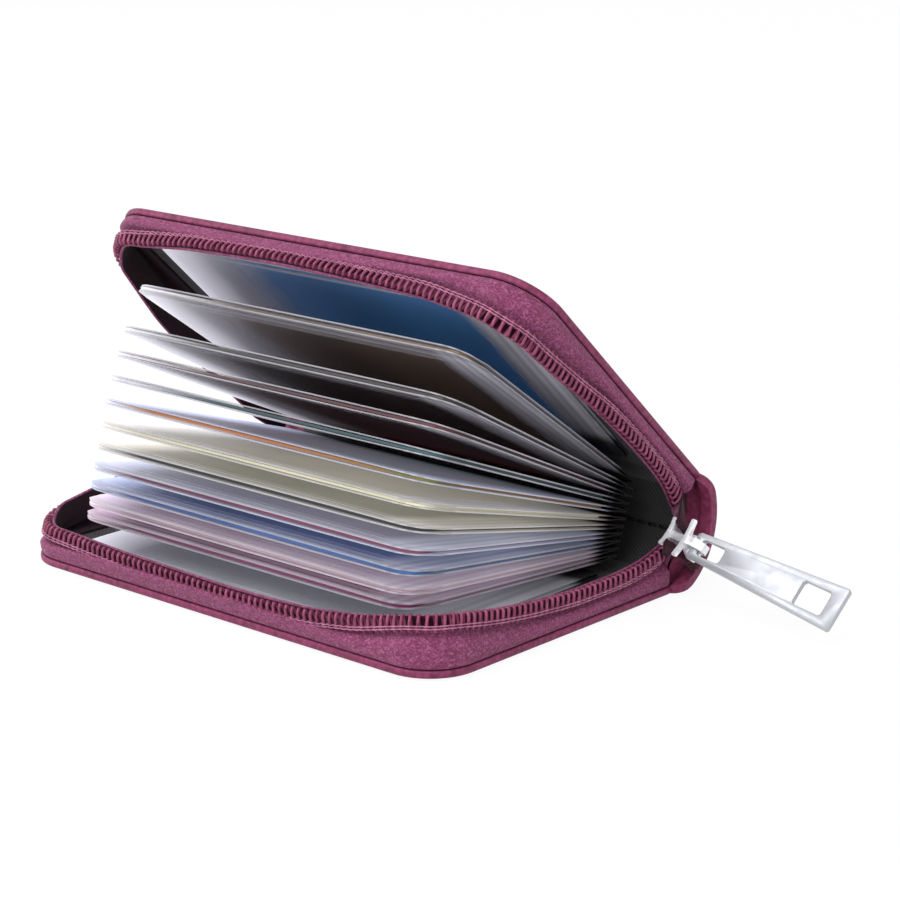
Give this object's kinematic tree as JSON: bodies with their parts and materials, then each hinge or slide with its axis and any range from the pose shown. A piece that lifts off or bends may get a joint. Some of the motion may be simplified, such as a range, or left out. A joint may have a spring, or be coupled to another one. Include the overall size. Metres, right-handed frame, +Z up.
{
  "type": "zip card wallet",
  "caption": "Leather card wallet with a coil zip round three sides, standing half open on its lower cover, with a fan of clear card pockets on a round spine and a flat zip pull",
  "frame": {"origin": "under the lower cover, on the plane that it lies on, midway along the wallet and 37.5 mm inside the lower fold", "axes": "+X along the spine to the end with the zip slider, +Y from the opening out through the spine, +Z up from the lower cover"},
  "size_m": [0.1528, 0.0777, 0.0673],
  "materials": {
    "grained_leather": "pebble-grained plum leather, turned edges",
    "grey_board": "grey pulp board",
    "black_lining": "black woven lining",
    "woven_zip_tape": "plum woven polyester tape",
    "nylon_coil": "plum nylon coil",
    "chromed_zinc": "die-cast zinc, bright chrome plate",
    "satin_nickel": "stamped metal, satin nickel plate",
    "clear_film": "clear soft film, a little hazy",
    "card_stock_00": "plain blue-grey card",
    "card_stock_01": "plain plum card",
    "card_stock_02": "plain blue card",
    "card_stock_03": "plain purple card",
    "card_stock_04": "plain orange-brown card",
    "card_stock_05": "plain olive card",
    "card_stock_06": "plain dark teal card",
    "card_stock_07": "plain dark plum card",
    "card_stock_08": "plain dark red card",
    "card_stock_09": "plain black card",
    "card_stock_10": "plain slate card",
    "card_stock_11": "plain olive-brown card",
    "card_stock_12": "plain deep blue card"
  },
  "bodies": {
    "bottom_cover": {"cover_leather_bottom": "grained_leather", "cover_board_bottom": "grey_board", "cover_lining_bottom": "black_lining", "zip_tape_bottom": "woven_zip_tape", "zip_coil_bottom": "nylon_coil", "cover_pocket_bottom": "clear_film", "card_bottom": "card_stock_00"},
    "spine": {"spine_leather": "grained_leather", "spine_lining": "black_lining", "page_binding": "black_lining", "zip_end_near": "nylon_coil"},
    "top_cover": {"cover_leather_top": "grained_leather", "cover_board_top": "grey_board", "cover_lining_top": "black_lining", "zip_tape_top": "woven_zip_tape", "zip_coil_top": "nylon_coil", "cover_pocket_top": "clear_film", "card_top": "card_stock_12"},
    "leaf_01": {"page_01": "clear_film", "card_01": "card_stock_01"},
    "leaf_02": {"page_02": "clear_film", "card_02": "card_stock_02"},
    "leaf_03": {"page_03": "clear_film", "card_03": "card_stock_03"},
    "leaf_04": {"page_04": "clear_film", "card_04": "card_stock_04"},
    "leaf_05": {"page_05": "clear_film", "card_05": "card_stock_05"},
    "leaf_06": {"page_06": "clear_film", "card_06": "card_stock_06"},
    "leaf_07": {"page_07": "clear_film", "card_07": "card_stock_07"},
    "leaf_08": {"page_08": "clear_film", "card_08": "card_stock_08"},
    "leaf_09": {"page_09": "clear_film", "card_09": "card_stock_09"},
    "leaf_10": {"page_10": "clear_film", "card_10": "card_stock_10"},
    "leaf_11": {"page_11": "clear_film", "card_11": "card_stock_11"},
    "slider": {"zip_slider": "chromed_zinc"},
    "pull": {"zip_pull": "satin_nickel"}
  },
  "joints": [
    {"name": "fold_bottom", "type": "hinge", "parent": "bottom_cover", "child": "spine", "pos_m": [0, 0.0375, 0], "axis": [-1, 0, 0], "range_deg": [-21.4, 43.6]},
    {"name": "fold_top", "type": "hinge", "parent": "spine", "child": "top_cover", "pos_m": [0, 0.04612, 0.02198], "axis": [-1, 0, 0], "range_deg": [-21.45, 43.65]},
    {"name": "leaf_01", "type": "hinge", "parent": "spine", "child": "leaf_01", "pos_m": [-0.0008, 0.03594, 0.00561], "axis": [-1, 0, 0], "range_deg": [-35.55, 17.45]},
    {"name": "leaf_02", "type": "hinge", "parent": "spine", "child": "leaf_02", "pos_m": [-0.0008, 0.03646, 0.00694], "axis": [-1, 0, 0], "range_deg": [-33, 16.25]},
    {"name": "leaf_03", "type": "hinge", "parent": "spine", "child": "leaf_03", "pos_m": [-0.0008, 0.03698, 0.00827], "axis": [-1, 0, 0], "range_deg": [-29.1, 14.3]},
    {"name": "leaf_04", "type": "hinge", "parent": "spine", "child": "leaf_04", "pos_m": [-0.0008, 0.03751, 0.00961], "axis": [-1, 0, 0], "range_deg": [-24.45, 12.05]},
    {"name": "leaf_05", "type": "hinge", "parent": "spine", "child": "leaf_05", "pos_m": [-0.0008, 0.03803, 0.01094], "axis": [-1, 0, 0], "range_deg": [-19.15, 9.45]},
    {"name": "leaf_06", "type": "hinge", "parent": "spine", "child": "leaf_06", "pos_m": [-0.0008, 0.03855, 0.01227], "axis": [-1, 0, 0], "range_deg": [-13.4, 6.6]},
    {"name": "leaf_07", "type": "hinge", "parent": "spine", "child": "leaf_07", "pos_m": [-0.0008, 0.03907, 0.0136], "axis": [-1, 0, 0], "range_deg": [-7.25, 3.6]},
    {"name": "leaf_08", "type": "hinge", "parent": "spine", "child": "leaf_08", "pos_m": [-0.0008, 0.03959, 0.01493], "axis": [-1, 0, 0], "range_deg": [-0.7, 0.4]},
    {"name": "leaf_09", "type": "hinge", "parent": "spine", "child": "leaf_09", "pos_m": [-0.0008, 0.04011, 0.01626], "axis": [-1, 0, 0], "range_deg": [-3.15, 6.35]},
    {"name": "leaf_10", "type": "hinge", "parent": "spine", "child": "leaf_10", "pos_m": [-0.0008, 0.04064, 0.01759], "axis": [-1, 0, 0], "range_deg": [-6.7, 13.5]},
    {"name": "leaf_11", "type": "hinge", "parent": "spine", "child": "leaf_11", "pos_m": [-0.0008, 0.04116, 0.01893], "axis": [-1, 0, 0], "range_deg": [-13.65, 27.8]},
    {"name": "slider_run", "type": "slide", "parent": "spine", "child": "slider", "axis": [0, -0.766, 0.6428], "range_m": [-0.0019, 0.0021]},
    {"name": "pull_swing", "type": "hinge", "parent": "slider", "child": "pull", "pos_m": [0.06256, 0.03508, 0.01161], "axis": [0.1392, 0.6365, 0.7586], "range_deg": [-80, 68]}
  ],
  "couplings": [
    {"joint": "fold_top", "follows": "fold_bottom", "ratio": 1},
    {"joint": "leaf_01", "follows": "fold_bottom", "ratio": -0.81308},
    {"joint": "leaf_02", "follows": "fold_bottom", "ratio": -0.75533},
    {"joint": "leaf_03", "follows": "fold_bottom", "ratio": -0.66587},
    {"joint": "leaf_04", "follows": "fold_bottom", "ratio": -0.55859},
    {"joint": "leaf_05", "follows": "fold_bottom", "ratio": -0.43781},
    {"joint": "leaf_06", "follows": "fold_bottom", "ratio": -0.30588},
    {"joint": "leaf_07", "follows": "fold_bottom", "ratio": -0.16434},
    {"joint": "leaf_08", "follows": "fold_bottom", "ratio": -0.014258},
    {"joint": "leaf_09", "follows": "fold_bottom", "ratio": 0.14354},
    {"joint": "leaf_10", "follows": "fold_bottom", "ratio": 0.30841},
    {"joint": "leaf_11", "follows": "fold_bottom", "ratio": 0.63551}
  ]
}
